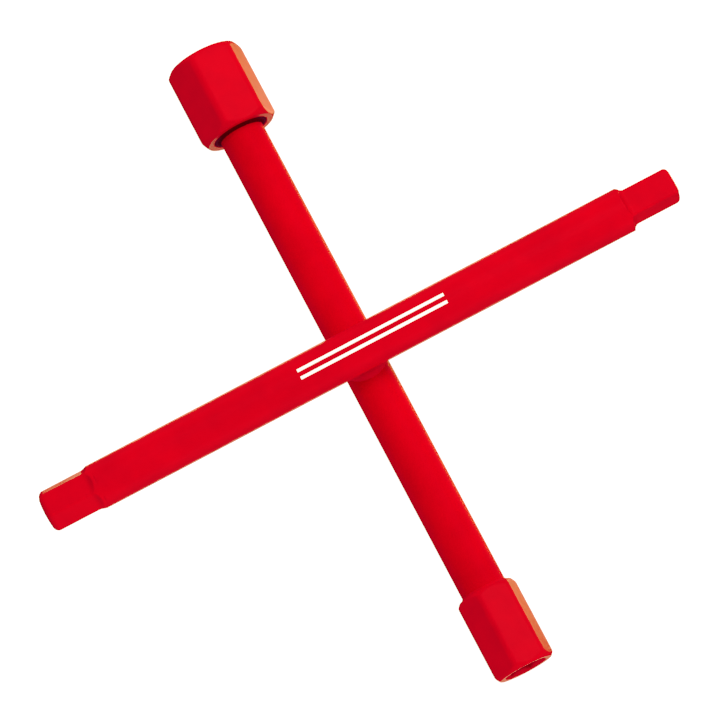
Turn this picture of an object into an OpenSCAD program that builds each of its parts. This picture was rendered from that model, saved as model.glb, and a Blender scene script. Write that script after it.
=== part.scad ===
// Four-way cross key: two round steel bars, one lying on the other at right angles and
// welded there. The drive bar ends in a male hexagon and a male square. The socket bar
// carries a large and a small hexagonal socket.
//
// Frame: +X towards the square end of the drive bar, +Y towards the large socket,
// +Z up with the drive bar on top. The origin is at the centre of the bounding box's base.

/* [Bars] */
// Diameter of both round bars
bar_d = 14; // [12:0.5:18]
// Overall length of the drive bar, tip to tip
drive_bar_l = 211.5; // [180:0.5:260]
// Overall length across the two sockets, mouth to mouth
socket_span = 212; // [180:1:260]
// How far the crossing lies from the drive bar's middle, towards the hexagon
crossing_shift = 1; // [0:0.1:5]
// Depth of the saddle that the drive bar sits in, cut in the socket bar
saddle_depth = 0.5; // [0.1:0.1:2]

/* [Drive ends] */
// Male hexagon, across flats
hex_drive_af = 12; // [9:0.5:12]
// Male square, across flats
square_drive_af = 9; // [6:0.5:9.5]
// Length of the flats on each drive end, up to the cutter run-out
flat_l = 14.8; // [10:0.2:20]
// Radius that the cutter leaves where the hexagon's flats run out
hex_runout_r = 3; // [1:0.25:5]
// Radius that the cutter leaves where the square's flats run out
square_runout_r = 2; // [1:0.25:5]
// Radius on the corners of the square
square_corner_r = 0.7; // [0.2:0.1:1.2]
// Radius round the tip of each drive end
tip_r = 1.4; // [0.5:0.1:2.5]
// Turn of the flats from the tool's plane, about the bar's own axis
drive_turn = 8; // [0:1:30]

/* [Sockets] */
// Large socket body, across flats
large_af = 22; // [19:0.5:30]
// Small socket body, across flats
small_af = 17; // [15:0.5:24]
// Length of each socket body
socket_l = 26; // [22:1:40]
// Hexagonal recess of the large socket, across flats
large_recess_af = 14; // [10:0.5:15]
// Hexagonal recess of the small socket, across flats
small_recess_af = 11; // [8:0.5:12]
// Depth of both recesses
recess_depth = 15; // [8:0.5:17]
// Turn of the sockets' flats from the tool's plane, about the bar's own axis
socket_turn = 15; // [0:1:30]
// Lead-in chamfer at the mouth of each recess
lead_in = 0.8; // [0.3:0.1:1.5]

/* [Welds] */
// Radius of the shallow recess behind the large socket that holds its weld
large_weld_recess_r = 8.8; // [8:0.1:9.5]
// Depth of that recess
large_weld_recess_depth = 1; // [0.5:0.1:4]
// Leg of the weld ring behind the small socket
small_weld_leg = 0.9; // [0.5:0.1:1.2]
// Distance from the drive bar's axis to the toe of each crossing bead
bead_toe = 8.2; // [7.5:0.1:11]
// Distance from the drive bar's axis to the crest of each bead, where it meets that bar
bead_crest = 6.4; // [5:0.1:7]
// Height of each bead above the socket bar
bead_h = 3.8; // [2:0.1:5]
// Half of the angle that the beads cover round the socket bar
bead_half_angle = 44; // [20:1:60]

/* [Hidden] */
$fn = 96;
paint = [0.86, 0.02, 0.09];
weld_paint = [0.74, 0.03, 0.08];

bar_r = bar_d / 2;
overshoot = 1;
tip_steps = 6;
bead_steps = 6;
bead_gap = 0.4;

// A hexagon's corner radius from its width across flats
function corner_r(af) = af / 2 / cos(30);

// The large socket rests on its lowest corner, which sets the height of the socket bar
socket_axis_z = corner_r(large_af) * cos(30 - socket_turn);
drive_axis_z = socket_axis_z + bar_d - saddle_depth;
crossing_x = -crossing_shift;

// The bar enters the large socket at its full diameter and the small one with a thinner spigot
small_spigot_r = 5;
web = 3;
spigot_l = socket_l - recess_depth - web;
socket_rear = socket_span / 2 - socket_l;

// Outline of the weld rings, as shares of their leg
ring_toe = 0.9;
ring_dip = 0.6;
ring_rim = 0.5;
ring_middle = 0.5;
fillet_sag = 0.6;

// Length of the cylinder that stands for the drive bar where the other pieces meet it
round_body_l = 4 * bar_d;

// Points of a quarter circle that rounds the end of a bar of radius r and length l
function rounded_tip(r, l, tip) = [
    for (i = [0:tip_steps])
        let (a = 90 * i / tip_steps)
            [r - tip + tip * cos(a), l - tip + tip * sin(a)]
];

// Half of the drive bar's envelope, from its middle to a rounded tip
module bar_half(l) {
    rotate_extrude()
        polygon(concat([[0, -overshoot], [bar_r, -overshoot]], rounded_tip(bar_r, l, tip_r), [[0, l]]));
}

// One flat: a slab that ends in the round run-out of the cutter
module flat_cutter(af, runout_r) {
    slab = bar_d;
    translate([-slab / 2, af / 2, drive_bar_l / 2 - flat_l])
        cube([slab, slab, flat_l + overshoot]);
    translate([0, af / 2 + runout_r, drive_bar_l / 2 - flat_l])
        rotate([0, 90, 0])
            cylinder(r = runout_r, h = slab, center = true);
    translate([-slab / 2, af / 2 + runout_r, drive_bar_l / 2 - flat_l - runout_r])
        cube([slab, slab, runout_r + overshoot]);
}

// Square post with rounded corners that the square end is trimmed to
module rounded_square_post(af, r, l) {
    for (turn = [0, 90])
        rotate(turn)
            translate([-af / 2, -af / 2 + r, 0])
                cube([af, af - 2 * r, l]);
    for (x = [-1, 1], y = [-1, 1])
        translate([x * (af / 2 - r), y * (af / 2 - r), 0])
            cylinder(r = r, h = l);
}

// Hexagonal half of the drive bar, along +Z
module hex_drive_half() {
    difference() {
        bar_half(drive_bar_l / 2);
        for (i = [0:5])
            rotate(60 * i)
                flat_cutter(hex_drive_af, hex_runout_r);
    }
}

// Square half of the drive bar, along +Z
module square_drive_half() {
    post_l = flat_l + overshoot;
    difference() {
        bar_half(drive_bar_l / 2);
        for (i = [0:3])
            rotate(90 * i)
                flat_cutter(square_drive_af, square_runout_r);
        translate([0, 0, drive_bar_l / 2 - flat_l])
            difference() {
                cylinder(r = bar_d, h = post_l);
                translate([0, 0, -overshoot])
                    rounded_square_post(square_drive_af, square_corner_r, post_l + 2 * overshoot);
            }
    }
}

// The whole bar with both drive ends, lying on its axis
module drive_bar() {
    color(paint)
        translate([0, 0, drive_axis_z]) {
            rotate([0, 90, 0])
                rotate(90 + drive_turn)
                    square_drive_half();
            rotate([0, -90, 0])
                rotate(90 - drive_turn)
                    hex_drive_half();
        }
}

// The drive bar's round body, used to shape what lies against it
module drive_bar_round() {
    translate([0, 0, drive_axis_z])
        rotate([0, 90, 0])
            cylinder(r = bar_r, h = round_body_l, center = true);
}

// Places a child that runs along +Z on the socket bar's axis: side 1 points to +Y, -1 to -Y
module on_socket_axis(side) {
    translate([crossing_x, 0, socket_axis_z])
        rotate([-90 * side, 0, 0])
            children();
}

// Bar with a spigot at each end and a saddle for the drive bar
module socket_bar() {
    color(paint)
        difference() {
            union() {
                on_socket_axis(1)
                    cylinder(r = bar_r, h = socket_rear + spigot_l);
                on_socket_axis(-1)
                    cylinder(r = bar_r, h = socket_rear);
                on_socket_axis(-1)
                    cylinder(r = small_spigot_r, h = socket_rear + spigot_l);
            }
            drive_bar_round();
        }
}

// Hexagonal body, chamfered at both ends down to a circle as wide as its flats
module socket_body(af) {
    chamfer = corner_r(af) - af / 2;
    intersection() {
        rotate(30)
            cylinder(r = corner_r(af), h = socket_l, $fn = 6);
        rotate_extrude()
            polygon([
                [0, 0],
                [af / 2, 0],
                [af / 2 + chamfer, chamfer],
                [af / 2 + chamfer, socket_l - chamfer],
                [af / 2, socket_l],
                [0, socket_l]
            ]);
    }
}

// Hexagonal recess with a conical lead-in, from the mouth downwards
module recess(af) {
    translate([0, 0, socket_l - recess_depth])
        rotate(30)
            cylinder(r = corner_r(af), h = recess_depth + overshoot, $fn = 6);
    translate([0, 0, socket_l - lead_in])
        cylinder(r1 = corner_r(af) - lead_in / 2, r2 = corner_r(af) + lead_in / 2, h = lead_in);
}

// A socket standing on its rear face, with the bore for the spigot
module socket(af, recess_af, spigot_r) {
    difference() {
        socket_body(af);
        recess(recess_af);
        translate([0, 0, -overshoot])
            cylinder(r = spigot_r, h = spigot_l + overshoot);
    }
}

module large_socket() {
    color(paint)
        on_socket_axis(1)
            translate([0, 0, socket_rear])
                rotate(-socket_turn)
                    difference() {
                        socket(large_af, large_recess_af, bar_r);
                        translate([0, 0, -overshoot])
                            cylinder(r = large_weld_recess_r, h = large_weld_recess_depth + overshoot);
                    }
}

module small_socket() {
    color(paint)
        on_socket_axis(-1)
            translate([0, 0, socket_rear])
                rotate(180 + socket_turn)
                    socket(small_af, small_recess_af, small_spigot_r);
}

// Ring of weld that fills the recess behind the large socket and slopes down to the bar
module large_socket_weld() {
    leg = large_weld_recess_r - bar_r;
    color(weld_paint)
        on_socket_axis(1)
            translate([0, 0, socket_rear + large_weld_recess_depth])
                rotate_extrude()
                    polygon([
                        [bar_r, 0],
                        [bar_r, -leg * ring_toe],
                        [bar_r + leg * ring_middle, -leg * ring_dip],
                        [bar_r + leg, -leg * ring_rim],
                        [bar_r + leg, 0]
                    ]);
}

// Small fillet ring in the corner between the bar and the small socket
module small_socket_weld() {
    color(weld_paint)
        on_socket_axis(-1)
            translate([0, 0, socket_rear])
                rotate_extrude()
                    polygon([
                        [bar_r, 0],
                        [bar_r, -small_weld_leg],
                        [bar_r + small_weld_leg * fillet_sag, -small_weld_leg * fillet_sag],
                        [bar_r + small_weld_leg, 0]
                    ]);
}

// Outline of a bead in the plane of the socket bar's axis: [radius, distance along it]
bead_outline = concat(
    [[bar_r, bead_gap], [bar_r, bead_toe]],
    [
        for (i = [1:bead_steps])
            let (a = 90 * i / bead_steps)
                [bar_r + bead_h * sin(a), bead_crest + (bead_toe - bead_crest) * cos(a)]
    ],
    [[bar_r + bead_h, bead_gap]]
);

// Bead across the top of the socket bar, in the corner under the drive bar
module crossing_weld(side) {
    color(weld_paint)
        difference() {
            on_socket_axis(side)
                rotate(-90 * side - bead_half_angle)
                    rotate_extrude(angle = 2 * bead_half_angle)
                        polygon(bead_outline);
            drive_bar_round();
        }
}

module crossing_weld_front() {
    crossing_weld(-1);
}

module crossing_weld_back() {
    crossing_weld(1);
}

drive_bar();
socket_bar();
large_socket();
small_socket();
large_socket_weld();
small_socket_weld();
crossing_weld_front();
crossing_weld_back();
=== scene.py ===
"""Four-way cross key in semi-gloss red paint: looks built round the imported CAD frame.

Every piece is a watertight skin of rings. A ring's radius is the smooth minimum of the turned
outline and of the flats, which gives edges the soft roundness that paint leaves on steel.
Lengths below are in millimetres unless a name says otherwise; meshes are in metres.
"""

import math

import bpy
import numpy as np
from mathutils import Matrix, Vector


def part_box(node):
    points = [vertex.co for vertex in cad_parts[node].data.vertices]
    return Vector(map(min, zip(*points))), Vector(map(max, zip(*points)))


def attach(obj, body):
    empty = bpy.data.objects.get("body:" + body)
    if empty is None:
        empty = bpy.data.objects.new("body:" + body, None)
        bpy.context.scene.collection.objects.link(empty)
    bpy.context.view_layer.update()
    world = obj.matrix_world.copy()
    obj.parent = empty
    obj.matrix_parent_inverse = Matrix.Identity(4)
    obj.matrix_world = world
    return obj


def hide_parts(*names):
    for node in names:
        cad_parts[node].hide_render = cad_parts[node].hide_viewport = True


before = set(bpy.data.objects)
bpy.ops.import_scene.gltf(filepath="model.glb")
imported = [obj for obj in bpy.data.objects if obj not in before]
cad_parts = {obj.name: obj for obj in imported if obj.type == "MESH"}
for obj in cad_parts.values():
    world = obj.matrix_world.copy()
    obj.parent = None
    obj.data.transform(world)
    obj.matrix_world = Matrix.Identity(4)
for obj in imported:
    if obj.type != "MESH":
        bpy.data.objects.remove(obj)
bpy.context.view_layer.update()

MM = 0.001

# ---------------------------------------------------------------- sizes that repeat the CAD's
BAR_R = 7.0
HEX_DRIVE_AF = 12.0
SQUARE_DRIVE_AF = 9.0
FLAT_L = 14.8
HEX_RUNOUT_R = 3.0
SQUARE_RUNOUT_R = 2.0
DRIVE_TURN = 8.0
LARGE_AF = 22.0
SMALL_AF = 17.0
LARGE_RECESS_AF = 14.0
SMALL_RECESS_AF = 11.0
RECESS_DEPTH = 15.0
LEAD_IN = 0.8
SOCKET_TURN = 15.0
LARGE_WELD_RECESS_R = 8.8
LARGE_WELD_RECESS_DEPTH = 1.0
SMALL_WELD_LEG = 0.9
BEAD_TOE = 8.2

# ---------------------------------------------------------------- places, from the frame
drive_low, drive_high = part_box("drive_bar")
socket_low, socket_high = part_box("socket_bar")
large_low, large_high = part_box("large_socket")
small_low, small_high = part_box("small_socket")

drive_axis = (drive_low + drive_high) / 2
socket_axis = (socket_low + socket_high) / 2
socket_axis.z = (large_low.z + large_high.z) / 2
DRIVE_HALF_L = (drive_high.x - drive_low.x) / 2 / MM
LARGE_L = (large_high.y - large_low.y) / MM
SMALL_L = (small_high.y - small_low.y) / MM
# Distances of the sockets' rear faces from the crossing
LARGE_REAR_Y = large_low.y / MM
SMALL_REAR_Y = -small_high.y / MM
AXIS_GAP = (drive_axis.z - socket_axis.z) / MM

SEGMENTS = 192


# ---------------------------------------------------------------- shape helpers
# Directions whose cosine to a flat's normal is below FACING miss the flat and get the radius FAR
FACING = 0.2
FAR = 1e3
# A rounding takes at most this share of the straights beside it
MOST_OF_STRAIGHT = 0.45
# Degrees of a rounding between two of its points
ARC_STEP = 15


def smooth_min(a, b, k):
    """The smaller of a and b, with the corner between them rounded over a width k."""
    h = np.maximum(k - np.abs(a - b), 0.0) / k
    return np.minimum(a, b) - h * h * k / 4


def smooth_max(a, b, k):
    return -smooth_min(-a, -b, k)


def flat_radius(theta, distance):
    """Radius at angle theta of a flat that lies at that distance, with its normal at 0."""
    c = np.cos(theta)
    return np.where(c > FACING, distance / np.maximum(c, FACING), FAR)


def polygon_radius(theta, sides, half_width, soft):
    """Radius at angle theta of a regular polygon with soft corners; a flat's normal is at 0."""
    radius = flat_radius(theta, half_width)
    for i in range(1, sides):
        flat = flat_radius(theta - 2 * math.pi * i / sides, half_width)
        radius = smooth_min(radius, flat, soft)
    return radius


def rounded_path(points, radius, step):
    """Points along a polyline whose corners are rounded, with straights cut to about step."""
    pts = [np.array(p, float) for p in points]
    out = [pts[0]]
    for before, corner, after in zip(pts, pts[1:], pts[2:]):
        u, v = before - corner, after - corner
        lu, lv = np.linalg.norm(u), np.linalg.norm(v)
        u, v = u / lu, v / lv
        half = math.acos(max(-1.0, min(1.0, float(u @ v)))) / 2
        reach = min(radius / math.tan(half), lu * MOST_OF_STRAIGHT, lv * MOST_OF_STRAIGHT)
        r = reach * math.tan(half)
        centre = corner + (u + v) / np.linalg.norm(u + v) * r / math.sin(half)
        start, end = corner + u * reach - centre, corner + v * reach - centre
        sweep = math.pi - 2 * half
        steps = max(2, int(math.degrees(sweep) / ARC_STEP) + 1)
        for i in range(steps + 1):
            t = i / steps
            w0 = math.sin((1 - t) * sweep) / math.sin(sweep)
            w1 = math.sin(t * sweep) / math.sin(sweep)
            out.append(centre + start * w0 + end * w1)
    out.append(pts[-1])
    fine = [out[0]]
    for a, b in zip(out, out[1:]):
        n = max(1, int(np.linalg.norm(b - a) / step))
        fine += [a + (b - a) * (i + 1) / n for i in range(n)]
    return fine


def skin(name, rings, place):
    """A closed mesh through rings of points, (ring, segment, xyz), each end closed by a fan."""
    count, segments, _ = rings.shape
    points = (rings.reshape(-1, 3) * MM) @ np.array(place.to_3x3()).T + np.array(place.translation)
    verts = points.tolist()
    faces = []
    for i in range(count - 1):
        a, b = i * segments, (i + 1) * segments
        for j in range(segments):
            k = (j + 1) % segments
            faces.append((a + j, a + k, b + k, b + j))
    for ring, flip in ((0, True), (count - 1, False)):
        base = ring * segments
        centre = len(verts)
        verts.append(points[base:base + segments].mean(0).tolist())
        for j in range(segments):
            k = (j + 1) % segments
            faces.append((base + k, base + j, centre) if flip else (base + j, base + k, centre))
    mesh = bpy.data.meshes.new(name)
    mesh.from_pydata(verts, [], faces)
    mesh.validate()
    mesh.shade_smooth()
    piece = bpy.data.objects.new(name, mesh)
    bpy.context.scene.collection.objects.link(piece)
    return piece


def lathe(name, path, radius_of, place):
    """A skin about local Z. path holds (height, radius); radius_of bends each ring's radius."""
    theta = np.arange(SEGMENTS) * 2 * math.pi / SEGMENTS
    rings = []
    for height, radius in path:
        r = radius_of(theta, height, radius)
        z = np.full_like(theta, height)
        rings.append(np.stack([r * np.cos(theta), r * np.sin(theta), z], axis=-1))
    return skin(name, np.array(rings), place)


def place_along(origin, axis, zero):
    """Local Z runs along axis and local X along zero."""
    z = Vector(axis).normalized()
    x = Vector(zero).normalized()
    y = z.cross(x)
    m = Matrix((x, y, z)).transposed().to_4x4()
    m.translation = origin
    return m


def tilted(degrees_from_up, towards):
    """Unit vector that leans from straight up by that angle towards a horizontal direction."""
    a = math.radians(degrees_from_up)
    return Vector((0, 0, math.cos(a))) + Vector(towards) * math.sin(a)


# ---------------------------------------------------------------- drive bar
# The tips are rounder than the CAD's
HEX_TIP_R = 1.9
SQUARE_TIP_R = 1.6
SOFT_HEX = 0.7
SOFT_SQUARE = 1.5
SOFT_RUNOUT = 0.25
SHOULDER_R = 0.5
# The end faces bulge this much in their middle
TIP_BULGE = 0.25
# The innermost ring of an end face lies this far in from the flats
FACE_INSET = 4.2
FACE_RINGS = 8
TIP_RINGS = 10
# A height that no flat reaches, where the bar is round
NO_FLAT = 50.0
# Close rings reach this far past both ends of a run-out
RUNOUT_MARGIN = 1.0
CLOSE_STEP = 0.1
FLAT_STEP = 0.75
BODY_RINGS = 60


def flat_height(from_tip, af, runout):
    """Height of a flat above the axis: level, then up the cutter's round run-out."""
    past = from_tip - FLAT_L
    if past <= 0:
        return af / 2
    if past < runout:
        return af / 2 + runout - math.sqrt(runout ** 2 - past ** 2)
    if past < runout + SHOULDER_R:
        rest = runout + SHOULDER_R - past
        return BAR_R - SHOULDER_R + math.sqrt(SHOULDER_R ** 2 - rest ** 2)
    return NO_FLAT


def drive_radius(theta, x, inset):
    """The bar's outline at x, shrunk evenly where the tip is rounded: by inset at the flats."""
    from_tip = DRIVE_HALF_L - abs(x)
    round_bar = np.full_like(theta, BAR_R)
    if from_tip > FLAT_L + max(HEX_RUNOUT_R, SQUARE_RUNOUT_R) + SHOULDER_R:
        return round_bar
    if x > 0:
        af = SQUARE_DRIVE_AF
        flats = polygon_radius(theta, 4, flat_height(from_tip, af, SQUARE_RUNOUT_R), SOFT_SQUARE)
    else:
        af = HEX_DRIVE_AF
        flats = polygon_radius(theta, 6, flat_height(from_tip, af, HEX_RUNOUT_R), SOFT_HEX)
    return smooth_min(round_bar, flats, SOFT_RUNOUT) * (1 - 2 * inset / af)


def rounded_end(tip_r):
    """(distance from the tip, inset) over a faintly bulging end face and round its edge."""
    shares = np.linspace(0.0, 1.0, FACE_RINGS)
    face = [(TIP_BULGE * share ** 2, FACE_INSET + (tip_r - FACE_INSET) * share) for share in shares]
    turns = [math.radians(90 * i / TIP_RINGS) for i in range(1, TIP_RINGS + 1)]
    edge = [(TIP_BULGE + tip_r * (1 - math.cos(a)), tip_r * (1 - math.sin(a))) for a in turns]
    return face + edge


def drive_bar_path():
    """(x, inset) from tip to tip, with close rings at the tips and at the shoulders."""
    flats = np.arange(HEX_TIP_R + 0.8, FLAT_L - RUNOUT_MARGIN, FLAT_STEP)
    shoulder_end = FLAT_L + HEX_RUNOUT_R + RUNOUT_MARGIN
    shoulder = np.arange(FLAT_L - RUNOUT_MARGIN, shoulder_end, CLOSE_STEP)
    body = np.linspace(FLAT_L + HEX_RUNOUT_R + 1.2, DRIVE_HALF_L, BODY_RINGS)
    rest = [(d, 0.0) for d in (*flats, *shoulder, *body)]
    low = [(-DRIVE_HALF_L + d, inset) for d, inset in rounded_end(HEX_TIP_R) + rest]
    high = [(DRIVE_HALF_L - d, inset) for d, inset in reversed(rounded_end(SQUARE_TIP_R) + rest[:-1])]
    return low + high


def make_drive_bar():
    place = place_along(drive_axis, (1, 0, 0), tilted(DRIVE_TURN, (0, 1, 0)))
    piece = lathe("drive_bar_skin", drive_bar_path(), drive_radius, place)
    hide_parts("drive_bar")
    return piece


# ---------------------------------------------------------------- socket bar
# Rings lie close together this far each way from the crossing
SADDLE_REACH = 8.0
SADDLE_SOFT = 0.1
SADDLE_STEP = 0.2
# The skin ends about this far inside the sockets
HIDDEN_END = 2.0


def socket_bar_radius(theta, y, radius):
    """Round, but cut down to a saddle where the drive bar lies on it."""
    r = np.full_like(theta, radius)
    if abs(y) < BAR_R:
        underside = AXIS_GAP - math.sqrt(BAR_R ** 2 - y ** 2)
        r = smooth_min(r, flat_radius(theta, underside), SADDLE_SOFT)
    return r


def make_socket_bar():
    place = place_along(socket_axis, (0, 1, 0), (0, 0, 1))
    low_end = -SMALL_REAR_Y - HIDDEN_END
    high_end = LARGE_REAR_Y + LARGE_WELD_RECESS_DEPTH + HIDDEN_END
    heights = [
        *np.arange(low_end, -SADDLE_REACH, 1.0),
        *np.arange(-SADDLE_REACH, SADDLE_REACH, SADDLE_STEP),
        *np.arange(SADDLE_REACH, high_end, 1.0)
    ]
    piece = lathe("socket_bar_skin", [(h, BAR_R) for h in heights], socket_bar_radius, place)
    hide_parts("socket_bar")
    return piece


# ---------------------------------------------------------------- sockets
# Softness of the sockets' long edges, as a share of their width across flats
SOFT_FLATS = 0.08
# Paint stands this far outside the sockets' flats
PAINT = 0.25
SOFT_CHAMFER = 0.5
# The turned outline between the chamfers stands this far outside the hexagon's corners
ENVELOPE_CLEAR = 0.5
EDGE_R = 0.3
# Softness of the recess's corners, and of the edge between its walls and the lead-in
SOFT_RECESS = 0.05
SOFT_MOUTH = 0.15
# Outline points within this of the flats, or beyond them, belong to the outside of the body
OUTSIDE_BAND = 1.5
# The lead-in and its blend into the walls, as a share of its depth
LEAD_IN_REACH = 1.2
SOCKET_STEP = 0.5
# The rear faces run in to these radii, inside the bar
LARGE_REAR_INNER = 4.0
SMALL_REAR_INNER = 3.0


def corner_radius(af):
    return af / 2 / math.cos(math.radians(30))


def socket_path(length, af, recess_af, rear):
    """Outline over the outside and into the mouth, heights down the wall, and the floor's rings."""
    out = corner_radius(af)
    envelope = out + ENVELOPE_CLEAR
    chamfer = envelope - af / 2
    inner = corner_radius(recess_af)
    body = [
        (0, af / 2), (chamfer, envelope), (length - chamfer, envelope), (length, af / 2),
        (length, inner + LEAD_IN / 2), (length - LEAD_IN, inner - LEAD_IN / 2)
    ]
    outside = rounded_path(rear + body, EDGE_R, SOCKET_STEP)
    floor = length - RECESS_DEPTH
    wall = np.arange(length - LEAD_IN - 0.3, floor, -SOCKET_STEP)
    bottom = [(floor, s) for s in np.linspace(1.0, 0.1, 6)]
    return [tuple(p) for p in outside], wall, bottom


def make_socket(name, node, rear_y, length, af, recess_af, rear):
    """A socket whose rear face is at rear_y along the bar, on the side that its sign says."""
    outside, wall, bottom = socket_path(length, af, recess_af, rear)
    theta = np.arange(SEGMENTS) * 2 * math.pi / SEGMENTS
    hexagon = polygon_radius(theta, 6, af / 2 + PAINT, SOFT_FLATS * af)
    recess = polygon_radius(theta, 6, recess_af / 2, SOFT_RECESS)
    lead_start = length - LEAD_IN * LEAD_IN_REACH
    rings = []
    for height, radius in outside:
        r = np.full_like(theta, radius)
        if radius > af / 2 - OUTSIDE_BAND:
            r = smooth_min(hexagon, r, SOFT_CHAMFER)
        if height > lead_start and radius < corner_radius(recess_af) + LEAD_IN / 2:
            r = smooth_max(recess, r, SOFT_MOUTH)
        rings.append((height, r))
    rings += [(height, recess) for height in wall]
    rings += [(height, recess * share) for height, share in bottom]
    grid = np.array([
        np.stack([r * np.cos(theta), r * np.sin(theta), np.full_like(theta, h)], axis=-1)
        for h, r in rings
    ])
    side = math.copysign(1, rear_y)
    origin = socket_axis + Vector((0, rear_y * MM, 0))
    place = place_along(origin, (0, side, 0), tilted(SOCKET_TURN, (1, 0, 0)))
    piece = skin(name, grid, place)
    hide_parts(node)
    return piece


def make_large_socket():
    rear = [
        (LARGE_WELD_RECESS_DEPTH, LARGE_REAR_INNER), (LARGE_WELD_RECESS_DEPTH, LARGE_WELD_RECESS_R),
        (0, LARGE_WELD_RECESS_R)
    ]
    sizes = (LARGE_REAR_Y, LARGE_L, LARGE_AF, LARGE_RECESS_AF)
    return make_socket("large_socket_skin", "large_socket", *sizes, rear)


def make_small_socket():
    sizes = (-SMALL_REAR_Y, SMALL_L, SMALL_AF, SMALL_RECESS_AF)
    return make_socket("small_socket_skin", "small_socket", *sizes, [(0, SMALL_REAR_INNER)])


# ---------------------------------------------------------------- welds
# Outlines of the ring welds, as shares of their leg
RING_TOE = 0.9
RING_DIP = 0.6
RING_RIM = 0.5
FILLET_SAG = 0.55
# The rings' hidden roots reach this far into the bar, and their fronts past the faces they meet
ROOT = 0.6
LARGE_OVERLAP = 0.1
SMALL_OVERLAP = 0.2
RING_ROUNDING = 0.25
RING_STEP = 0.2
# Ripples round each ring, their height, and how much their spacing wanders
LARGE_RIPPLES, LARGE_RIPPLE = 26, 0.07
SMALL_RIPPLES, SMALL_RIPPLE = 30, 0.03
RIPPLE_DRIFT = 0.6


def make_ring_weld(name, node, side, height, outline, ripples, ripple):
    """A ring bead about the socket bar, with the ripples of a turning weld."""
    def radius_of(theta, h, radius):
        wave = np.sin(theta * ripples + RIPPLE_DRIFT * np.sin(theta * 3))
        return radius + ripple * wave * (radius > BAR_R)
    origin = socket_axis + Vector((0, side * height * MM, 0))
    place = place_along(origin, (0, side, 0), (0, 0, 1))
    piece = lathe(name, rounded_path(outline, RING_ROUNDING, RING_STEP), radius_of, place)
    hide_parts(node)
    return piece


def make_large_ring_weld():
    leg = LARGE_WELD_RECESS_R - BAR_R
    outline = [
        (-leg * RING_TOE, BAR_R - ROOT), (-leg * RING_TOE, BAR_R), (-leg * RING_DIP, BAR_R + leg / 2),
        (-leg * RING_RIM, BAR_R + leg), (LARGE_OVERLAP, BAR_R + leg), (LARGE_OVERLAP, BAR_R - ROOT)
    ]
    weld = (1, LARGE_REAR_Y + LARGE_WELD_RECESS_DEPTH, outline, LARGE_RIPPLES, LARGE_RIPPLE)
    return make_ring_weld("large_socket_weld_bead", "large_socket_weld", *weld)


def make_small_ring_weld():
    leg = SMALL_WELD_LEG
    outline = [
        (-leg, BAR_R - ROOT), (-leg, BAR_R), (-leg * FILLET_SAG, BAR_R + leg / 2),
        (0, BAR_R + leg), (SMALL_OVERLAP, BAR_R + leg), (SMALL_OVERLAP, BAR_R - ROOT)
    ]
    weld = (-1, SMALL_REAR_Y, outline, SMALL_RIPPLES, SMALL_RIPPLE)
    return make_ring_weld("small_socket_weld_bead", "small_socket_weld", *weld)


# Half of the angle that a crossing bead covers round the socket bar, in degrees
BEAD_SPREAD = 64.0
BEAD_RISE = 2.4
# Distance from the drive bar's axis to the bead's hidden back, inside that bar
BEAD_INNER = 3.0
BEAD_STEEPNESS = 2.6
BEAD_RIPPLE = 0.03
BEAD_RINGS = 121
SURFACE_POINTS = 28
# The hidden root reaches this far into the socket bar; its corner under the toe lies less deep
BEAD_ROOT = 0.7
TOE_ROOT = 0.1
# At their ends the beads thin out to this share
LEAST_FULLNESS = 0.05


def bead_section(angle, fullness, ripple):
    """Closed outline of a bead in a plane through the socket bar's axis: (radius, distance)."""
    toe = math.sqrt(BEAD_TOE ** 2 - (BAR_R * math.sin(angle)) ** 2) - (1 - fullness)
    share = np.linspace(0, 1, SURFACE_POINTS)
    rise = (BEAD_RISE * fullness + ripple) * (1 - (1 - share) ** BEAD_STEEPNESS)
    surface = np.stack([BAR_R + rise, toe + (BEAD_INNER - toe) * share], axis=-1)
    deep = BAR_R - BEAD_ROOT
    root = [(deep, BEAD_INNER), (deep, toe - 0.3), (BAR_R - TOE_ROOT, toe + 0.05)]
    return np.concatenate([surface, np.array(root)])


def make_crossing_bead(name, node, side):
    """A faintly rippled fillet over the socket bar, in the corner under the drive bar."""
    rings = []
    for s in np.linspace(-1, 1, BEAD_RINGS):
        angle = math.radians(BEAD_SPREAD) * s
        fullness = LEAST_FULLNESS + (1 - LEAST_FULLNESS) * math.sqrt(1 - abs(s) ** 4)
        ripple = BEAD_RIPPLE * fullness * math.sin(34 * s + 0.8 * math.sin(5 * s))
        radius, along = bead_section(angle, fullness, ripple).T
        rings.append(np.stack([radius * math.sin(angle), side * along, radius * math.cos(angle)], axis=-1))
    order = np.array(rings) if side > 0 else np.array(rings)[::-1]
    piece = skin(name, order, Matrix.Translation(socket_axis))
    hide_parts(node)
    return piece


# ---------------------------------------------------------------- materials
RED = (0.61, 0.0008, 0.0095)
# The weld behind the large socket is painted near-black red: painted shade for the crevice between the bar
# and that socket's rear face
SHADED_WELD_RED = (0.09, 0.0004, 0.002)
# Noise scales, in cycles per metre: slow swells, orange peel and uneven colour
SWELL_SCALE = 260.0
PEEL_SCALE = 1300.0
CLOUD_SCALE = 70.0
SWELL_DEPTH = 0.6
PEEL_DEPTH = 0.1
# The colour's unevenness, as shares of the red, and the noise values where they are reached
DARKER, LIGHTER = 0.9, 1.05
DARK_AT, LIGHT_AT = 0.3, 0.7
SMOOTHEST, ROUGHEST = 0.36, 0.48
# Name of the node that holds a paint's colour
TINT = "tint"


def new_material(name):
    material = bpy.data.materials.new(name)
    material.use_nodes = True
    return material, material.node_tree.nodes["Principled BSDF"]


def shader_node(tree, kind, **inputs):
    made = tree.nodes.new(kind)
    for key, value in inputs.items():
        made.inputs[key.replace("_", " ")].default_value = value
    return made


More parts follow.
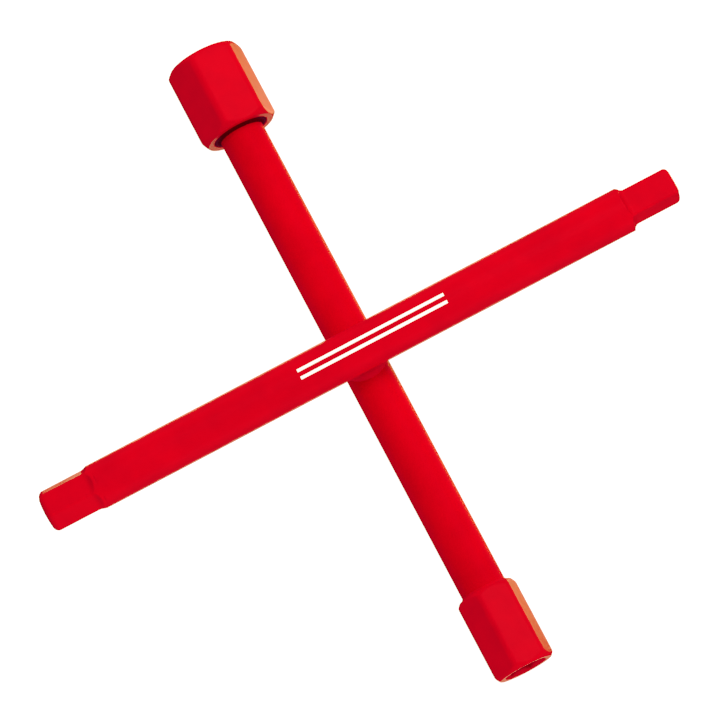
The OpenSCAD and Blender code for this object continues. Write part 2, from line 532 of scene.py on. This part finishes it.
def paint(name, red, bump, seed, shine=0.3):
    """Semi-gloss paint over rolled steel: slow swells, fine orange peel and a little unevenness."""
    material, shader = new_material(name)
    tree = material.node_tree
    link = tree.links.new
    coords = tree.nodes.new("ShaderNodeTexCoord")
    shift = tree.nodes.new("ShaderNodeMapping")
    shift.inputs["Location"].default_value = (seed, seed * 0.7, seed * 0.3)
    link(coords.outputs["Object"], shift.inputs["Vector"])

    swell = shader_node(tree, "ShaderNodeTexNoise", Scale=SWELL_SCALE, Detail=3.0, Roughness=0.5)
    peel = shader_node(tree, "ShaderNodeTexNoise", Scale=PEEL_SCALE, Detail=2.0, Roughness=0.5)
    cloud = shader_node(tree, "ShaderNodeTexNoise", Scale=CLOUD_SCALE, Detail=4.0, Roughness=0.6)
    for noise in (swell, peel, cloud):
        link(shift.outputs["Vector"], noise.inputs["Vector"])

    tint = tree.nodes.new("ShaderNodeValToRGB")
    tint.name = TINT
    tint.color_ramp.elements[0].position = DARK_AT
    tint.color_ramp.elements[0].color = (red[0] * DARKER, red[1], red[2] * DARKER, 1)
    tint.color_ramp.elements[1].position = LIGHT_AT
    tint.color_ramp.elements[1].color = (red[0] * LIGHTER, red[1], red[2], 1)
    link(cloud.outputs["Fac"], tint.inputs["Fac"])
    link(tint.outputs["Color"], shader.inputs["Base Color"])

    gloss = tree.nodes.new("ShaderNodeMapRange")
    gloss.inputs["To Min"].default_value = SMOOTHEST
    gloss.inputs["To Max"].default_value = ROUGHEST
    link(swell.outputs["Fac"], gloss.inputs["Value"])
    link(gloss.outputs["Result"], shader.inputs["Roughness"])

    low = shader_node(tree, "ShaderNodeBump", Strength=bump, Distance=SWELL_DEPTH * MM)
    fine = shader_node(tree, "ShaderNodeBump", Strength=bump * 0.5, Distance=PEEL_DEPTH * MM)
    link(swell.outputs["Fac"], low.inputs["Height"])
    link(peel.outputs["Fac"], fine.inputs["Height"])
    link(low.outputs["Normal"], fine.inputs["Normal"])
    link(fine.outputs["Normal"], shader.inputs["Normal"])
    shader.inputs["Specular IOR Level"].default_value = shine
    return material


def window(tree, value, low, high, blur):
    """1 where value lies between low and high, with edges blur wide."""
    link = tree.links.new
    centre, half = (low + high) / 2, (high - low) / 2
    away = tree.nodes.new("ShaderNodeMath")
    away.operation = "SUBTRACT"
    away.inputs[1].default_value = centre
    link(value, away.inputs[0])
    size = tree.nodes.new("ShaderNodeMath")
    size.operation = "ABSOLUTE"
    link(away.outputs[0], size.inputs[0])
    edge = tree.nodes.new("ShaderNodeMapRange")
    edge.interpolation_type = "SMOOTHSTEP"
    edge.inputs["From Min"].default_value = half + blur
    edge.inputs["From Max"].default_value = half - blur
    link(size.outputs[0], edge.inputs["Value"])
    return edge.outputs["Result"]


PRINT_FROM, PRINT_TO = -20.0, 29.0
PRINT_LINES = ((0.85, 1.9), (-1.6, -0.6))
PRINT_WHITE = (0.88, 0.86, 0.83, 1)
PRINT_BLUR = 0.06
# The colour sockets of a mix node
MIX_A, MIX_B, MIX_RESULT = 6, 7, 2


def add_print(material):
    """Two plain white lines printed along the drive bar, where the real one carries its print."""
    tree = material.node_tree
    shader = tree.nodes["Principled BSDF"]
    tint = tree.nodes[TINT]
    link = tree.links.new
    coords = tree.nodes.new("ShaderNodeTexCoord")
    split = tree.nodes.new("ShaderNodeSeparateXYZ")
    link(coords.outputs["Object"], split.inputs["Vector"])
    blur = PRINT_BLUR * MM
    along = window(tree, split.outputs["X"], PRINT_FROM * MM, PRINT_TO * MM, blur)
    top = tree.nodes.new("ShaderNodeMath")
    top.operation = "GREATER_THAN"
    top.inputs[1].default_value = drive_axis.z
    link(split.outputs["Z"], top.inputs[0])
    lines = [window(tree, split.outputs["Y"], a * MM, b * MM, blur) for a, b in PRINT_LINES]
    both = tree.nodes.new("ShaderNodeMath")
    both.operation = "MAXIMUM"
    link(lines[0], both.inputs[0])
    link(lines[1], both.inputs[1])
    mask = both.outputs[0]
    for factor in (along, top.outputs[0]):
        times = tree.nodes.new("ShaderNodeMath")
        times.operation = "MULTIPLY"
        link(mask, times.inputs[0])
        link(factor, times.inputs[1])
        mask = times.outputs[0]
    ink = tree.nodes.new("ShaderNodeMix")
    ink.data_type = "RGBA"
    ink.inputs[MIX_B].default_value = PRINT_WHITE
    link(mask, ink.inputs[0])
    link(tint.outputs["Color"], ink.inputs[MIX_A])
    link(ink.outputs[MIX_RESULT], shader.inputs["Base Color"])


def dress(piece, material):
    piece.data.materials.clear()
    piece.data.materials.append(material)
    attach(piece, "root")


# ---------------------------------------------------------------- floor, light and camera
# The floor is a light table: its white is its own, and lamps under it shine through.
# It stays out of reflections, so surfaces seen edge-on keep their red.
FLOOR_GLOW = 0.97
FLOOR_GREY = 0.2
FLOOR_SIZE_M = 6.0


def make_floor():
    bpy.ops.mesh.primitive_plane_add(size=FLOOR_SIZE_M)
    floor = bpy.context.object
    floor.name = "floor"
    material, shader = new_material("floor_paper")
    shader.inputs["Base Color"].default_value = (FLOOR_GREY, FLOOR_GREY, FLOOR_GREY, 1)
    shader.inputs["Roughness"].default_value = 0.9
    shader.inputs["Emission Color"].default_value = (1, 1, 1, 1)
    shader.inputs["Emission Strength"].default_value = FLOOR_GLOW
    floor.data.materials.append(material)
    floor.visible_glossy = False
    floor.visible_shadow = False


def add_light(name, direction, distance, size, power, colour=(1, 1, 1), glossy=True):
    """A square softbox that looks at the middle of the key; distance and size are in metres."""
    data = bpy.data.lights.new(name, "AREA")
    data.size = size
    data.energy = power
    data.color = colour
    light = bpy.data.objects.new(name, data)
    way = Vector(direction).normalized()
    light.location = drive_axis + way * distance
    light.rotation_euler = way.to_track_quat("Z", "Y").to_euler()
    light.visible_glossy = glossy
    bpy.context.scene.collection.objects.link(light)


def make_lights():
    """Softboxes above, low fills on three sides, and lamps under the table for the narrow facets."""
    x, y, up = Vector((1, 0, 0)), Vector((0, 1, 0)), Vector((0, 0, 1))
    low_fill = {"distance": 1.4, "size": 0.6, "glossy": False}
    add_light("main", up + x * 0.36 + y * 0.22, 1.5, 1.0, 16.5, glossy=False)
    add_light("side", up + x * 0.9 + y * 0.15, 1.4, 0.6, 3.0, (1, 0.9, 0.78))
    add_light("front_fill", up * 0.1 - y, power=8.0, **low_fill)
    add_light("back_fill", up * 0.1 + y, power=4.0, **low_fill)
    add_light("left_fill", up * 0.3 - x, power=0.9, **low_fill)
    add_light("under_right", x * 0.7 + y * 0.2 - up * 0.68, 0.6, 0.3, 1.1, (1, 0.78, 0.5))
    add_light("under_front", up * -0.97 - y * 0.25, 0.6, 0.25, 0.25, (1, 0.85, 0.75))
    add_light("under_back", y * 0.6 - up * 0.8, 0.6, 0.25, 0.5, (1, 0.8, 0.6))


SKY_STRENGTH = 0.42


def make_sky():
    """Even white light from all round, which stays out of reflections."""
    world = bpy.data.worlds.new("studio")
    bpy.context.scene.world = world
    world.use_nodes = True
    background = world.node_tree.nodes["Background"]
    background.inputs["Color"].default_value = (1, 1, 1, 1)
    background.inputs["Strength"].default_value = SKY_STRENGTH
    world.cycles_visibility.glossy = False


# Where the camera stands: degrees from straight above towards the small socket, and the cosine
# of its direction with +X
TILT_TO_SMALL_SOCKET = 12.0
SIDE_COSINE = -0.0235
DISTANCE = 1173.0
SENSOR_WIDTH = 36.0
LENS = 197.15
BAR_ANGLE = 27.69
# The crossing lies this far left of and above the middle of the view
CROSSING_LEFT, CROSSING_UP = 0.65, 3.03


def make_camera():
    data = bpy.data.cameras.new("camera")
    camera = bpy.data.objects.new("camera", data)
    bpy.context.scene.collection.objects.link(camera)
    data.sensor_width = SENSOR_WIDTH
    data.lens = LENS
    data.clip_start, data.clip_end = 0.05, 20.0

    down = -math.sin(math.radians(TILT_TO_SMALL_SOCKET))
    back = Vector((SIDE_COSINE, down, math.sqrt(1 - SIDE_COSINE ** 2 - down ** 2)))
    across = Vector((1, 0, 0))
    across = (across - back * across.dot(back)).normalized()
    right = Matrix.Rotation(-math.radians(BAR_ANGLE), 3, back) @ across
    up = back.cross(right)
    crossing = Vector((socket_axis.x, socket_axis.y, drive_axis.z))
    shift = (right * CROSSING_LEFT - up * CROSSING_UP) * MM
    m = Matrix((right, up, back)).transposed().to_4x4()
    m.translation = crossing + shift + back * DISTANCE * MM
    camera.matrix_world = m
    bpy.context.scene.camera = camera


# Print-like grade: traces of green and blue in the red go, while highlights keep them
GREEN_GRADE = ((0, 0), (0.012, 0.0006), (0.03, 0.003), (0.055, 0.012), (0.12, 0.2), (0.3, 0.38), (1, 1))
BLUE_GRADE = ((0, 0), (0.015, 0.0105), (0.03, 0.014), (0.055, 0.02), (0.12, 0.12), (0.3, 0.28), (1, 1))


def grade_picture():
    view = bpy.context.scene.view_settings
    view.view_transform = "Standard"
    view.use_curve_mapping = True
    for curve, points in zip(view.curve_mapping.curves[1:3], (GREEN_GRADE, BLUE_GRADE)):
        for x, y in points[1:-1]:
            curve.points.new(x, y)
        for point in curve.points:
            point.handle_type = "VECTOR"
    view.curve_mapping.update()


# ---------------------------------------------------------------- the scene
make_camera()

bar_paint = paint("red_paint_bar", RED, 0.25, 0.0, shine=0.04)
drive_paint = paint("red_paint_printed_bar", RED, 0.25, 0.013)
add_print(drive_paint)
socket_paint = paint("red_paint_socket", RED, 0.12, 0.031)
weld_paint = paint("red_paint_weld", RED, 0.3, 0.047)
# Near-black red for the large socket's ring weld: painted shade, not the weld's own colour
shaded_weld_paint = paint("red_paint_shaded_weld", SHADED_WELD_RED, 0.3, 0.061, shine=0.05)

dress(make_drive_bar(), drive_paint)
dress(make_socket_bar(), bar_paint)
dress(make_large_socket(), socket_paint)
dress(make_small_socket(), socket_paint)
# The large socket's ring weld wears the painted shade of its crevice
dress(make_large_ring_weld(), shaded_weld_paint)
dress(make_small_ring_weld(), weld_paint)
dress(make_crossing_bead("crossing_weld_front_bead", "crossing_weld_front", -1), weld_paint)
dress(make_crossing_bead("crossing_weld_back_bead", "crossing_weld_back", 1), weld_paint)

make_floor()
make_lights()
make_sky()
grade_picture()
